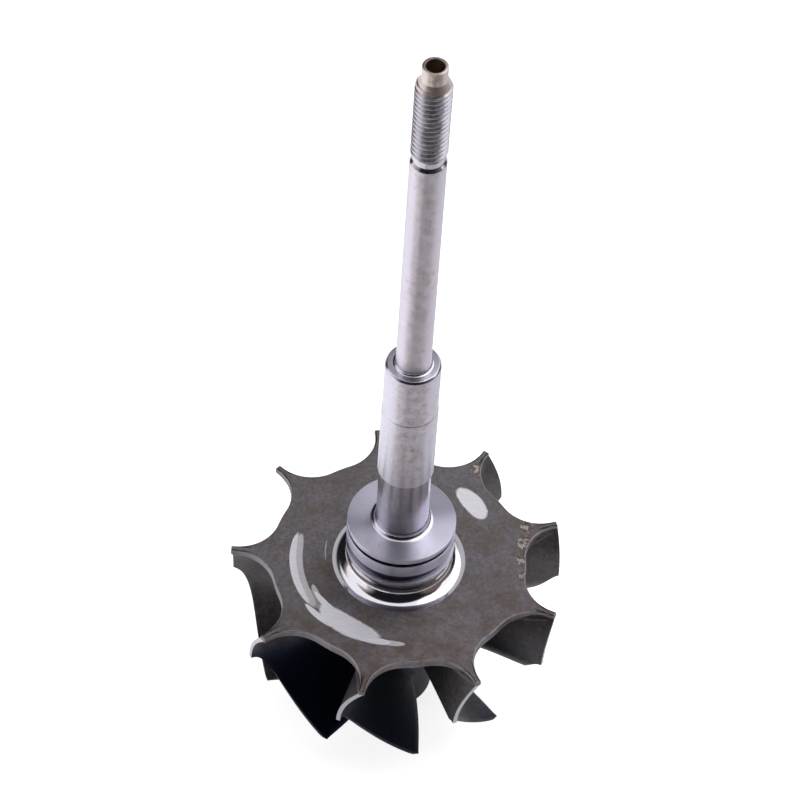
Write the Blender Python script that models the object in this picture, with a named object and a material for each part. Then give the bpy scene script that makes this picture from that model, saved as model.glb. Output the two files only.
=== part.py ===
# Turbine wheel and shaft of a small turbocharger, in metres.
# The centre of the nose's end face is the origin and the shaft points along +Z.
import math

import bmesh
import bpy
from mathutils import Matrix

# Wheel casting
WHEEL_RADIUS = 0.025
BLADE_COUNT = 9
FIRST_BLADE_ANGLE = math.radians(270.0)
BACK_FACE_Z = 0.030
NOSE_RADIUS = 0.00625
NOSE_CHAMFER = 0.0007
NOSE_TOP_Z = 0.0055
DISC_EDGE_RADIUS = 0.02125
DISC_EDGE_THICKNESS = 0.00125
ARM_TIP_THICKNESS = 0.0008

# Scallops between the arms that carry the blades
SCALLOP_BASE_RADIUS = 0.019
SCALLOP_FILLET_RADIUS = 0.00625
SCALLOP_FILLET_STEPS = 7
SCALLOP_MOUTH_RADIUS = 0.030
SCALLOP_CUT_DEPTH = 0.005
ARM_HALF_WIDTH = 0.00048

# Boss that carries the shaft, with a hollow flare down to the disc's back face
BOSS_TOP_Z = 0.0331
FLARE_RADIUS = 0.0034
FLARE_EDGE_RADIUS = 0.00965
FLARE_EDGE_TILT = math.radians(18.0)
FLARE_STEPS = 6

# Blades: depths are measured down from the disc's back face
LEADING_EDGE_DEPTH = 0.008525
EXDUCER_RADIUS = 0.0204
EXDUCER_DEPTH = 0.02175
SHROUD_FULLNESS = 1.07
ROOT_END_Z = 0.0075
ROOT_ARM_SHARE = 0.15
ROOT_CLEARANCE = 0.0004
INDUCER_LEAN = math.radians(7.4)
INDUCER_LEAN_START = 0.0006
INDUCER_LEAN_DEPTH = 0.009
INDUCER_LEAN_POWER = 2.3
EXDUCER_TWIST = math.radians(30.0)
EXDUCER_TWIST_POWER = 1.58
ROOT_SWEEP = math.radians(15.0)
ROOT_SWEEP_GROWTH = math.radians(12.0)
ROOT_SWEEP_START_DEPTH = 0.011
TIP_HALF_THICKNESS = 0.0004
ROOT_HALF_THICKNESS = 0.0006
BLADE_STEPS = 14
BLADE_SPAN_STEPS = 4

# Shaft, turned from one bar and welded to the top of the hub's boss
SEAT_GAP = 0.0003
NECK_RADIUS = 0.0073
CARRIER_RADIUS = 0.0080
CARRIER_LIP_Z = 0.0337
LOWER_GROOVE_Z = (0.0343, 0.0360)
UPPER_GROOVE_Z = (0.03817, 0.03889)
GROOVE_FLOOR_RADIUS = 0.0071
CARRIER_TOP_Z = 0.03974
JOURNAL_FOOT_RADIUS = 0.00386
JOURNAL_BAND_RADIUS = 0.00406
JOURNAL_RADIUS = 0.00396
JOURNAL_BAND_Z = (0.05155, 0.06537)
JOURNAL_FOOT_FILLET = 0.0006
SHOULDER_Z = 0.0747
EDGE_CHAMFER = 0.0003
STUB_RADIUS = 0.0025
STUB_FOOT_CHAMFER = 0.0002
STUB_END_Z = 0.11515

# Threaded end, M5 x 0.8, with a plain tip and a centre hole
THREAD_PITCH = 0.0008
THREAD_MAJOR_RADIUS = 0.0025
THREAD_MINOR_RADIUS = 0.00207
THREAD_START_Z = 0.1162
THREAD_END_Z = 0.1283
TIP_CHAMFER_Z = (0.1285, 0.1298)
TIP_Z = 0.1319
TIP_RADIUS = 0.00173
CENTRE_HOLE_RADIUS = 0.00125
CENTRE_HOLE_DEPTH = 0.0028

HUB_SEGMENTS = 54
HUB_CURVE_STEPS = 12
SHAFT_SEGMENTS = 32
MERGE_DISTANCE = 1e-6


def remove_old_objects():
    for old in list(bpy.data.objects):
        bpy.data.objects.remove(old, do_unlink=True)


def make_material(name, colour, roughness, metallic):
    material = bpy.data.materials.new(name)
    material.use_nodes = True
    shader = material.node_tree.nodes["Principled BSDF"]
    shader.inputs["Base Color"].default_value = (*colour, 1.0)
    shader.inputs["Roughness"].default_value = roughness
    shader.inputs["Metallic"].default_value = metallic
    return material


def add_object(name, bm, material, parent):
    bmesh.ops.recalc_face_normals(bm, faces=bm.faces)
    mesh = bpy.data.meshes.new(name)
    bm.to_mesh(mesh)
    bm.free()
    mesh.shade_smooth()
    mesh.set_sharp_from_angle(angle=math.radians(30.0))
    mesh.materials.append(material)
    piece = bpy.data.objects.new(name, mesh)
    piece.parent = parent
    bpy.context.collection.objects.link(piece)
    return piece


def turned_mesh(profile, segments):
    """Spin a profile of (radius, z) points, from axis to axis, around the Z axis."""
    bm = bmesh.new()
    points = [bm.verts.new((radius, 0.0, z)) for radius, z in profile]
    edges = [bm.edges.new(pair) for pair in zip(points, points[1:])]
    bmesh.ops.spin(
        bm,
        geom=points + edges,
        cent=(0.0, 0.0, 0.0),
        axis=(0.0, 0.0, 1.0),
        angle=math.tau,
        steps=segments,
        use_merge=True,
    )
    bmesh.ops.remove_doubles(bm, verts=bm.verts, dist=MERGE_DISTANCE)
    return bm


def arc_points(centre, radius, start, end, steps):
    points = []
    for step in range(steps + 1):
        angle = start + (end - start) * step / steps
        points.append((centre[0] + radius * math.cos(angle), centre[1] + radius * math.sin(angle)))
    return points


def blade_angle(number):
    return FIRST_BLADE_ANGLE + math.tau * (number - 1) / BLADE_COUNT


def hub_point(fraction, clearance=0.0):
    """Point (radius, z) on the hub's quarter ellipse, from the disc's edge (0) to the nose (1)."""
    angle = 0.5 * math.pi * (1.0 - fraction)
    half_width = DISC_EDGE_RADIUS - NOSE_RADIUS
    half_height = BACK_FACE_Z - DISC_EDGE_THICKNESS - NOSE_TOP_Z
    outward = math.cos(angle) / half_width
    downward = math.sin(angle) / half_height
    offset = clearance / math.hypot(outward, downward)
    radius = DISC_EDGE_RADIUS - half_width * math.cos(angle) + offset * outward
    return radius, NOSE_TOP_Z + half_height * math.sin(angle) - offset * downward


def scallop_outline():
    """Cut between two arms, centred on +X: base arc, a fillet on each side and a wide mouth."""
    centre_distance = SCALLOP_BASE_RADIUS + SCALLOP_FILLET_RADIUS
    half_sector = math.pi / BLADE_COUNT
    centre_from_arm = math.asin((ARM_HALF_WIDTH + SCALLOP_FILLET_RADIUS) / centre_distance)
    fillet_sweep = 0.5 * math.pi - centre_from_arm
    towards = half_sector - centre_from_arm
    centre = (centre_distance * math.cos(towards), centre_distance * math.sin(towards))
    start = towards + math.pi
    upper = arc_points(
        centre, SCALLOP_FILLET_RADIUS, start, start - fillet_sweep, SCALLOP_FILLET_STEPS
    )
    upper.append(
        (
            SCALLOP_MOUTH_RADIUS * math.cos(half_sector) + ARM_HALF_WIDTH * math.sin(half_sector),
            SCALLOP_MOUTH_RADIUS * math.sin(half_sector) - ARM_HALF_WIDTH * math.cos(half_sector),
        )
    )
    lower = [(x, -y) for x, y in reversed(upper)]
    return lower + [(SCALLOP_BASE_RADIUS, 0.0)] + upper


def make_scallop_cutter(parent):
    bm = bmesh.new()
    bottom = BACK_FACE_Z - SCALLOP_CUT_DEPTH
    for number in range(1, BLADE_COUNT + 1):
        middle = blade_angle(number) + math.pi / BLADE_COUNT
        verts = [bm.verts.new((x, y, bottom)) for x, y in scallop_outline()]
        turn = Matrix.Rotation(middle, 3, "Z")
        bmesh.ops.rotate(bm, verts=verts, cent=(0.0, 0.0, 0.0), matrix=turn)
        grown = bmesh.ops.extrude_face_region(bm, geom=[bm.faces.new(verts)])
        top = [item for item in grown["geom"] if isinstance(item, bmesh.types.BMVert)]
        bmesh.ops.translate(bm, verts=top, vec=(0.0, 0.0, 2.0 * SCALLOP_CUT_DEPTH))
    bmesh.ops.recalc_face_normals(bm, faces=bm.faces)
    mesh = bpy.data.meshes.new("scallop_cutter")
    bm.to_mesh(mesh)
    bm.free()
    cutter = bpy.data.objects.new("scallop_cutter", mesh)
    cutter.hide_render = True
    cutter.display_type = "WIRE"
    cutter.parent = parent
    bpy.context.collection.objects.link(cutter)
    return cutter


def flare_points():
    """Points (radius, z) from the boss's flat top down its hollow flare to the back face."""
    centre = (
        FLARE_EDGE_RADIUS + FLARE_RADIUS * math.sin(FLARE_EDGE_TILT),
        BACK_FACE_Z + FLARE_RADIUS * math.cos(FLARE_EDGE_TILT),
    )
    start = math.pi + math.asin((centre[1] - BOSS_TOP_Z) / FLARE_RADIUS)
    end = 1.5 * math.pi - FLARE_EDGE_TILT
    return arc_points(centre, FLARE_RADIUS, start, end, FLARE_STEPS)


def make_wheel_hub(material, parent):
    profile = [(0.0, BOSS_TOP_Z)] + flare_points()
    profile += [
        (WHEEL_RADIUS, BACK_FACE_Z),
        (WHEEL_RADIUS, BACK_FACE_Z - ARM_TIP_THICKNESS),
    ]
    profile += [hub_point(step / HUB_CURVE_STEPS) for step in range(HUB_CURVE_STEPS + 1)]
    profile += [(NOSE_RADIUS, NOSE_CHAMFER), (NOSE_RADIUS - NOSE_CHAMFER, 0.0), (0.0, 0.0)]
    bm = turned_mesh(profile, HUB_SEGMENTS)
    turn = Matrix.Rotation(FIRST_BLADE_ANGLE, 3, "Z")
    bmesh.ops.rotate(bm, verts=bm.verts, cent=(0.0, 0.0, 0.0), matrix=turn)
    hub = add_object("wheel_hub", bm, material, parent)
    scallops = hub.modifiers.new("Scallops", "BOOLEAN")
    scallops.operation = "DIFFERENCE"
    scallops.solver = "EXACT"
    scallops.object = make_scallop_cutter(parent)


def shroud_point(fraction):
    """Point (radius, z) on the blade's outer edge, from the leading edge (0) to the exducer (1)."""
    angle = 0.5 * math.pi * fraction
    inward = (WHEEL_RADIUS - EXDUCER_RADIUS) * math.sin(angle) ** SHROUD_FULLNESS
    rise = (EXDUCER_DEPTH - LEADING_EDGE_DEPTH) * math.cos(angle) ** SHROUD_FULLNESS
    return WHEEL_RADIUS - inward, BACK_FACE_Z - EXDUCER_DEPTH + rise


def root_point(fraction):
    """Point (radius, z) on the blade's root, from the arm's tip (0) to the trailing edge (1)."""
    if fraction < ROOT_ARM_SHARE:
        along = fraction / ROOT_ARM_SHARE
        radius = WHEEL_RADIUS + (DISC_EDGE_RADIUS - WHEEL_RADIUS) * along
        thickness = ARM_TIP_THICKNESS + (DISC_EDGE_THICKNESS - ARM_TIP_THICKNESS) * along
        return radius, BACK_FACE_Z - thickness - ROOT_CLEARANCE
    hub_height = BACK_FACE_Z - DISC_EDGE_THICKNESS - NOSE_TOP_Z
    end_angle = math.asin((ROOT_END_Z - NOSE_TOP_Z) / hub_height)
    along = (fraction - ROOT_ARM_SHARE) / (1.0 - ROOT_ARM_SHARE)
    return hub_point(along * (1.0 - end_angle / (0.5 * math.pi)), ROOT_CLEARANCE)


def lean(depth):
    """Angle of the blade at a depth: back from its arm to the leading edge's foot, then forward."""
    if depth < INDUCER_LEAN_DEPTH:
        left = (INDUCER_LEAN_DEPTH - depth) / (INDUCER_LEAN_DEPTH - INDUCER_LEAN_START)
        return INDUCER_LEAN * (min(left, 1.0) ** INDUCER_LEAN_POWER - 1.0)
    share = min(1.0, (depth - INDUCER_LEAN_DEPTH) / (EXDUCER_DEPTH - INDUCER_LEAN_DEPTH))
    return EXDUCER_TWIST * share**EXDUCER_TWIST_POWER - INDUCER_LEAN


def blade_turn(radius, z):
    """Angle of the blade's middle surface, which sweeps further at the root of the exducer."""
    depth = BACK_FACE_Z - z
    inward = max(0.0, EXDUCER_RADIUS - radius) / WHEEL_RADIUS
    share = (depth - ROOT_SWEEP_START_DEPTH) / (EXDUCER_DEPTH - ROOT_SWEEP_START_DEPTH)
    share = min(1.0, max(0.0, share))
    return lean(depth) + share * (ROOT_SWEEP * inward + ROOT_SWEEP_GROWTH * inward**2)


def half_turn(radius, z):
    """Angle that gives the blade its half thickness, measured square to its surface."""
    inward = (WHEEL_RADIUS - radius) / (WHEEL_RADIUS - NOSE_RADIUS)
    half_thickness = TIP_HALF_THICKNESS + (ROOT_HALF_THICKNESS - TIP_HALF_THICKNESS) * inward
    step = 1e-5
    along_z = radius * (blade_turn(radius, z + step) - blade_turn(radius, z - step)) / (2 * step)
    along_r = radius * (blade_turn(radius + step, z) - blade_turn(radius - step, z)) / (2 * step)
    return half_thickness * math.sqrt(1.0 + along_z**2 + along_r**2) / radius


def blade_mesh():
    bm = bmesh.new()
    sides = ([], [])
    for step in range(BLADE_STEPS + 1):
        root = root_point(step / BLADE_STEPS)
        tip = shroud_point(step / BLADE_STEPS)
        rows = ([], [])
        for span_step in range(BLADE_SPAN_STEPS + 1):
            span = span_step / BLADE_SPAN_STEPS
            radius = root[0] + (tip[0] - root[0]) * span
            z = root[1] + (tip[1] - root[1]) * span
            middle = blade_turn(radius, z)
            offset = half_turn(radius, z)
            for row, side in zip(rows, (-1.0, 1.0)):
                angle = middle + side * offset
                row.append(bm.verts.new((radius * math.cos(angle), radius * math.sin(angle), z)))
        for side_rows, row in zip(sides, rows):
            side_rows.append(row)
    for grid in sides:
        for row, next_row in zip(grid, grid[1:]):
            for index in range(BLADE_SPAN_STEPS):
                corners = (row[index], row[index + 1], next_row[index + 1], next_row[index])
                bm.faces.new(corners)
    boundary = [edge for edge in bm.edges if edge.is_boundary]
    bmesh.ops.bridge_loops(bm, edges=boundary)
    return bm


def make_blades(material, parent):
    for number in range(1, BLADE_COUNT + 1):
        blade = add_object(f"blade_{number}", blade_mesh(), material, parent)
        blade.rotation_euler.z = blade_angle(number)


def thread_rings():
    """Helical rows of the thread: two on the crest and two in the root for each turn."""
    rows_per_turn = 4
    turns = math.ceil((THREAD_END_Z - THREAD_START_Z) / THREAD_PITCH) + 2
    rings = []
    for row in range(turns * rows_per_turn):
        ring = []
        crest = row % rows_per_turn < 2
        for column in range(SHAFT_SEGMENTS + 1):
            rise = row / rows_per_turn + column / SHAFT_SEGMENTS - 1.0
            z = THREAD_START_Z + rise * THREAD_PITCH
            inside = THREAD_START_Z < z < THREAD_END_Z
            radius = THREAD_MAJOR_RADIUS if crest and inside else THREAD_MINOR_RADIUS
            ring.append((radius, min(max(z, THREAD_START_Z), THREAD_END_Z)))
        rings.append(ring)
    return rings


def thread_mesh():
    bm = bmesh.new()
    grid = []
    for ring in thread_rings():
        row = []
        for column, (radius, z) in enumerate(ring):
            angle = math.tau * column / SHAFT_SEGMENTS
            row.append(bm.verts.new((radius * math.cos(angle), radius * math.sin(angle), z)))
        grid.append(row)
    for row, next_row in zip(grid, grid[1:]):
        for index in range(SHAFT_SEGMENTS):
            bm.faces.new((row[index], row[index + 1], next_row[index + 1], next_row[index]))
    bmesh.ops.remove_doubles(bm, verts=bm.verts, dist=MERGE_DISTANCE)
    return bm


def grow_rings(bm, start_z, rings):
    """Carry the open edge at start_z on through further (radius, z) rings, then close it."""
    edges = []
    for edge in bm.edges:
        if edge.is_boundary and all(abs(vert.co.z - start_z) < MERGE_DISTANCE for vert in edge.verts):
            edges.append(edge)
    for radius, z in rings:
        grown = bmesh.ops.extrude_edge_only(bm, edges=edges)
        edges = [item for item in grown["geom"] if isinstance(item, bmesh.types.BMEdge)]
        for vert in {vert for edge in edges for vert in edge.verts}:
            scale = radius / math.hypot(vert.co.x, vert.co.y)
            vert.co = (vert.co.x * scale, vert.co.y * scale, z)
    bmesh.ops.contextual_create(bm, geom=edges)


def tip_profile():
    """Rings (radius, z) from the end of the thread up to the tip and down its centre hole."""
    return [
        (THREAD_MAJOR_RADIUS, THREAD_END_Z),
        (THREAD_MAJOR_RADIUS, TIP_CHAMFER_Z[0]),
        (TIP_RADIUS, TIP_CHAMFER_Z[1]),
        (TIP_RADIUS, TIP_Z),
        (CENTRE_HOLE_RADIUS, TIP_Z),
        (CENTRE_HOLE_RADIUS, TIP_Z - CENTRE_HOLE_DEPTH),
    ]


def stub_profile():
    """Rings (radius, z) from the thread down the compressor stub to the journal's shoulder."""
    return [
        (THREAD_MINOR_RADIUS, STUB_END_Z),
        (STUB_RADIUS - EDGE_CHAMFER, STUB_END_Z),
        (STUB_RADIUS, STUB_END_Z - EDGE_CHAMFER),
        (STUB_RADIUS, SHOULDER_Z + STUB_FOOT_CHAMFER),
        (STUB_RADIUS + STUB_FOOT_CHAMFER, SHOULDER_Z),
        (JOURNAL_RADIUS - EDGE_CHAMFER, SHOULDER_Z),
    ]


def journal_profile():
    """Rings (radius, z) down the bearing journal, with its wider band and the foot's fillet."""
    band_low, band_high = JOURNAL_BAND_Z
    rings = [
        (JOURNAL_RADIUS, SHOULDER_Z - EDGE_CHAMFER),
        (JOURNAL_RADIUS, band_high),
        (JOURNAL_BAND_RADIUS, band_high - EDGE_CHAMFER),
        (JOURNAL_BAND_RADIUS, band_low + EDGE_CHAMFER),
        (JOURNAL_FOOT_RADIUS, band_low),
    ]
    centre = (JOURNAL_FOOT_RADIUS + JOURNAL_FOOT_FILLET, CARRIER_TOP_Z + JOURNAL_FOOT_FILLET)
    rings += arc_points(centre, JOURNAL_FOOT_FILLET, math.pi, 1.5 * math.pi, 4)
    return rings


def carrier_profile():
    """Rings (radius, z) down the seal ring carrier, its two grooves and the weld neck."""
    rings = [
        (CARRIER_RADIUS - EDGE_CHAMFER, CARRIER_TOP_Z),
        (CARRIER_RADIUS, CARRIER_TOP_Z - EDGE_CHAMFER),
    ]
    for groove_low, groove_high in (UPPER_GROOVE_Z, LOWER_GROOVE_Z):
        rings += [
            (CARRIER_RADIUS, groove_high),
            (GROOVE_FLOOR_RADIUS, groove_high),
            (GROOVE_FLOOR_RADIUS, groove_low),
            (CARRIER_RADIUS, groove_low),
        ]
    foot = BOSS_TOP_Z + SEAT_GAP
    rings += [(CARRIER_RADIUS, CARRIER_LIP_Z), (NECK_RADIUS, CARRIER_LIP_Z), (NECK_RADIUS, foot)]
    return rings


def make_shaft(material, parent):
    bm = thread_mesh()
    grow_rings(bm, THREAD_START_Z, stub_profile() + journal_profile() + carrier_profile())
    grow_rings(bm, THREAD_END_Z, tip_profile())
    add_object("shaft", bm, material, parent)


def make_rotor():
    remove_old_objects()
    cast_alloy = make_material("cast_alloy", (0.30, 0.28, 0.26), 0.5, 0.9)
    ground_steel = make_material("ground_steel", (0.62, 0.60, 0.62), 0.28, 1.0)
    rotor = bpy.data.objects.new("rotor_axis", None)
    bpy.context.collection.objects.link(rotor)
    make_wheel_hub(cast_alloy, rotor)
    make_blades(cast_alloy, rotor)
    make_shaft(ground_steel, rotor)


make_rotor()
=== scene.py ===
import math

import bmesh
import bpy
from mathutils import Matrix, Vector


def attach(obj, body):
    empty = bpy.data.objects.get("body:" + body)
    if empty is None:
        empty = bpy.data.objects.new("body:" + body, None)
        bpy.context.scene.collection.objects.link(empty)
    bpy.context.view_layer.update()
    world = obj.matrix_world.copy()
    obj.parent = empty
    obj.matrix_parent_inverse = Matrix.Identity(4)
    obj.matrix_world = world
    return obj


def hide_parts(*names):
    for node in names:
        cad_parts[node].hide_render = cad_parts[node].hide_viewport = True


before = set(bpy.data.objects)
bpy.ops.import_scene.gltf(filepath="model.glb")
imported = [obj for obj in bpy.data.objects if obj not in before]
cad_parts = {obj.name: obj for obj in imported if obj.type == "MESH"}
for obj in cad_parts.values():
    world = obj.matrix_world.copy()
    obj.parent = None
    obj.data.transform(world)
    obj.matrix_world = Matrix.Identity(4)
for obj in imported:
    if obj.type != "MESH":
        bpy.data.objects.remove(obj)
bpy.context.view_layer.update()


# The core of the wheel casting: a disc scalloped between nine thin arms, running down a curved
# hub to the nose. Nickel alloy, investment cast, so its skin is grey brown and finely grained.
# The boss that the shaft is welded to is turned, with a bright hollow flare round its foot.
wheel_radius = 0.02499
back_face_z = 0.030
blade_count = 9
first_blade_angle = math.radians(270.0)
disc_edge_radius = 0.02125
disc_edge_thickness = 0.00125
arm_tip_thickness = 0.0010
arm_half_width = 0.00048
arm_corner = 0.0001
scallop_radius = 0.019
scallop_fillet = 0.00625
rim_rounding = 0.0002
rim_inset = 0.00025
boss_top_z = 0.0331
boss_rounding = 0.0001
boss_flat_radius = 0.005
flare_radius = 0.0022
flare_edge_radius = 0.0095
turned_edge_radius = 0.0099
back_face_radii = (0.0097, turned_edge_radius, 0.0105, 0.013, 0.0155)
hub_start_radius = 0.0165
nose_radius = 0.00625
nose_top_z = 0.0055
cap_radius = 0.003
nose_profile = [(nose_radius, 0.004), (nose_radius, 0.0009), (0.0062, 0.00074)]
nose_profile += [(0.0056, 0.00006), (0.0054, 0.0), (cap_radius, 0.0)]
hub_height = back_face_z - disc_edge_thickness - nose_top_z
hub_width = disc_edge_radius - nose_radius
rim_band_width = 0.0003
# How light the rim gets: its upper edge partly by wear and partly by a painted highlight, its wall by a
# painted reflection.
edge_wear_and_sheen = 0.85
wall_sheen = 0.12

disc_base_grey = (0.16, 0.14, 0.15)
cast_grey = (0.205, 0.188, 0.205)
cast_brown = (0.155, 0.135, 0.115)
rust_brown = (0.125, 0.088, 0.075)
fleck_beige = (0.66, 0.58, 0.53)
hub_painted_shade = (0.05, 0.05, 0.065)
worn_and_sheen_grey = (0.32, 0.31, 0.35)
ground_grey = (0.88, 0.86, 0.93)
ground_white = (1.0, 0.98, 1.0)
turned_silver = (0.76, 0.74, 0.78)
finish_inputs = ("Colour", "Stain", "Stain amount", "Roughness")
finish_outputs = ("Colour", "Roughness", "Height")

# Grinding strokes and fleck patches: the angle is in degrees, radius to width in millimetres.
stroke_columns = ("Angle", "Radius", "Length", "Width", "Slope", "Blunt", "Strength")
balancing_strokes = [
    (56.7, 15.6, 3.5, 1.6, 0.14, 2.2, 1.0),
    (203.5, 15.25, 7.2, 0.95, 0.02, 3.6, 0.6),
    (201.5, 15.75, 7.0, 0.55, 0.01, 3.0, 0.95),
    (226.0, 14.8, 3.0, 0.7, -0.05, 3.0, 0.3),
    (222.0, 13.95, 1.7, 0.42, 0.08, 3.0, 0.6),
    (233.5, 13.9, 3.4, 0.5, -0.03, 2.4, 1.0),
    (236.5, 16.15, 3.2, 0.5, -0.06, 2.2, 1.0),
    (251.0, 14.7, 5.4, 1.75, 0.03, 2.2, 1.0),
    (263.0, 15.6, 4.4, 0.65, 0.0, 3.0, 1.0),
    (276.5, 15.6, 2.6, 0.48, 0.05, 3.0, 0.6),
    (186.0, 11.0, 1.9, 0.11, -0.08, 2.0, 0.4),
]
fleck_patches = [
    (68.0, 21.2, 1.3, 1.1, 0.0, 2.0, 1.0),
    (31.5, 20.4, 1.2, 1.1, 0.0, 2.0, 1.0),
    (23.0, 19.2, 1.7, 1.2, 0.0, 2.0, 1.0),
    (14.0, 18.4, 1.6, 0.9, 0.0, 2.0, 1.0),
    (4.0, 18.7, 1.1, 0.7, 0.0, 2.0, 0.8),
]


def underside(radius):
    """Height of the casting's lower skin at a radius, from the arms' tips down to the nose."""
    if radius > disc_edge_radius:
        share = (radius - disc_edge_radius) / (wheel_radius - disc_edge_radius)
        return back_face_z - disc_edge_thickness + (disc_edge_thickness - arm_tip_thickness) * share
    across = (disc_edge_radius - radius) / hub_width
    return nose_top_z + hub_height * math.sqrt(max(0.0, 1.0 - across**2))


def half_sector_outline():
    """Rim from the middle of an arm's end to the middle of a scallop: (x, y, normal x, normal y)."""
    points = []
    end_angle = math.asin(arm_half_width / wheel_radius)
    for step in range(3):
        angle = (end_angle - arm_corner / wheel_radius) * step / 2
        normal_x, normal_y = math.cos(angle), math.sin(angle)
        points.append((wheel_radius * normal_x, wheel_radius * normal_y, normal_x, normal_y))
    for step in range(1, 3):
        angle = math.radians(30.0 * step)
        x = wheel_radius - arm_corner + arm_corner * math.cos(angle)
        y = arm_half_width - arm_corner + arm_corner * math.sin(angle)
        points.append((x, y, math.cos(angle), math.sin(angle)))
    centre_distance = scallop_radius + scallop_fillet
    from_arm = math.asin((arm_half_width + scallop_fillet) / centre_distance)
    foot_x = centre_distance * math.cos(from_arm)
    for step in range(6):
        share = step / 6
        x = (wheel_radius - arm_corner) * (1.0 - share) + foot_x * share
        points.append((x, arm_half_width, 0.0, 1.0))
    centre_y = arm_half_width + scallop_fillet
    sweep = 0.5 * math.pi - from_arm
    for step in range(13):
        angle = sweep * step / 12
        x = foot_x - scallop_fillet * math.sin(angle)
        y = centre_y - scallop_fillet * math.cos(angle)
        points.append((x, y, math.sin(angle), math.cos(angle)))
    middle = math.pi / blade_count
    start = math.atan2(points[-1][1], points[-1][0])
    for step in range(1, 6):
        angle = start + (middle - start) * step / 5
        x, y = scallop_radius * math.cos(angle), scallop_radius * math.sin(angle)
        points.append((x, y, math.cos(angle), math.sin(angle)))
    return points


def rim_outline():
    """The whole rim, counter-clockwise from the first blade's arm, as places and normals."""
    half = half_sector_outline()
    sector = math.tau / blade_count
    mirrored = []
    for x, y, normal_x, normal_y in reversed(half[1:-1]):
        place = Matrix.Rotation(sector, 2) @ Vector((x, -y))
        normal = Matrix.Rotation(sector, 2) @ Vector((normal_x, -normal_y))
        mirrored.append((place.x, place.y, normal.x, normal.y))
    outline = []
    for number in range(blade_count):
        turn = Matrix.Rotation(first_blade_angle + sector * number, 2)
        for x, y, normal_x, normal_y in half + mirrored:
            outline.append((turn @ Vector((x, y)), turn @ Vector((normal_x, normal_y))))
    return outline


rim = rim_outline()


def rim_ring(inset, z=None):
    """Ring that follows the rim at an inset; without a height it lies on the lower skin."""
    ring = []
    for place, normal in rim:
        x, y = place - normal * inset
        ring.append((x, y, underside(math.hypot(x, y)) if z is None else z))
    return ring


def round_ring(radius, z):
    """Round ring with as many points as the rim has."""
    ring = []
    for step in range(len(rim)):
        angle = first_blade_angle + math.tau * step / len(rim)
        ring.append((radius * math.cos(angle), radius * math.sin(angle), z))
    return ring


def between_rings(outer, inner, share, z=None):
    """Ring part of the way to an inner one; without a height it lies on the lower skin."""
    ring = []
    for (outer_x, outer_y, _), (inner_x, inner_y, _) in zip(outer, inner):
        x = outer_x + (inner_x - outer_x) * share
        y = outer_y + (inner_y - outer_y) * share
        ring.append((x, y, underside(math.hypot(x, y)) if z is None else z))
    return ring


def boss_rings():
    """Rings from the boss's top down its flare and out over the round part of the back face."""
    boss_radius = flare_edge_radius - flare_radius
    rings = [
        round_ring(boss_flat_radius, boss_top_z),
        round_ring(boss_radius - boss_rounding, boss_top_z),
        round_ring(boss_radius, boss_top_z - boss_rounding),
    ]
    for step in range(21):
        angle = 0.5 * math.pi * step / 20
        out = flare_radius * (1.0 - math.cos(angle))
        up = flare_radius * (1.0 - math.sin(angle))
        rings.append(round_ring(boss_radius + out, back_face_z + up))
    return rings + [round_ring(radius, back_face_z) for radius in back_face_radii]


def rim_rings():
    """Rings that follow the rim: out over the back face, round both edges and down the wall."""
    inner = round_ring(back_face_radii[-1], back_face_z)
    outer = rim_ring(rim_inset, back_face_z)
    rings = [between_rings(outer, inner, 1.0 - share, back_face_z) for share in (0.35, 0.65, 0.85, 0.95)]
    rings.append(outer)
    quarter = [math.radians(22.5 * step) for step in range(5)]
    for angle in quarter:
        z = back_face_z - rim_rounding * (1.0 - math.cos(angle))
        rings.append(rim_ring(rim_rounding * (1.0 - math.sin(angle)), z))
    upper_z = back_face_z - rim_rounding
    wall = rim_ring(0.0)
    for share in (0.1, 0.5, 0.9):
        rings.append([(x, y, upper_z * (1.0 - share) + (z + rim_rounding) * share) for x, y, z in wall])
    for angle in quarter:
        edge = rim_ring(rim_rounding * (1.0 - math.cos(angle)))
        rings.append([(x, y, z + rim_rounding * (1.0 - math.sin(angle))) for x, y, z in edge])
    return rings


def hub_rings():
    """Rings in over the lower skin and down the hollow curve of the hub to the nose."""
    outer = rim_ring(rim_inset)
    inner = round_ring(hub_start_radius, underside(hub_start_radius))
    rings = [outer] + [between_rings(outer, inner, share) for share in (0.08, 0.25, 0.5, 0.75)]
    start = math.acos((disc_edge_radius - hub_start_radius) / hub_width)
    for step in range(19):
        radius = disc_edge_radius - hub_width * math.cos(start * (1.0 - step / 18))
        rings.append(round_ring(radius, underside(radius)))
    return rings + [round_ring(radius, z) for radius, z in nose_profile]


def start_circle(name, sides, radius, z):
    """Starts a piece as a flat round face across the axis, open for editing."""
    bpy.ops.object.select_all(action="DESELECT")
    bpy.ops.mesh.primitive_circle_add(vertices=sides, radius=radius, fill_type="NGON", location=(0, 0, z))
    piece = bpy.context.object
    piece.name = name
    bpy.ops.object.transform_apply(location=True, rotation=False, scale=False)
    bpy.ops.object.mode_set(mode="EDIT")
    return piece


def finish_shell():
    """Turns all faces outward, and ends the editing."""
    bpy.ops.mesh.select_all(action="SELECT")
    bpy.ops.mesh.normals_make_consistent(inside=False)
    bpy.ops.object.mode_set(mode="OBJECT")


def next_ring(points):
    """Extrudes the selected edge loop and moves it onto the given points, one to a spoke."""
    bpy.ops.mesh.extrude_edges_move()
    shell = bmesh.from_edit_mesh(bpy.context.object.data)
    spoke = shell.verts.layers.int["spoke"]
    for vert in shell.verts:
        if vert.select:
            vert.co = points[vert[spoke]]
    bmesh.update_edit_mesh(bpy.context.object.data)


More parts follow.
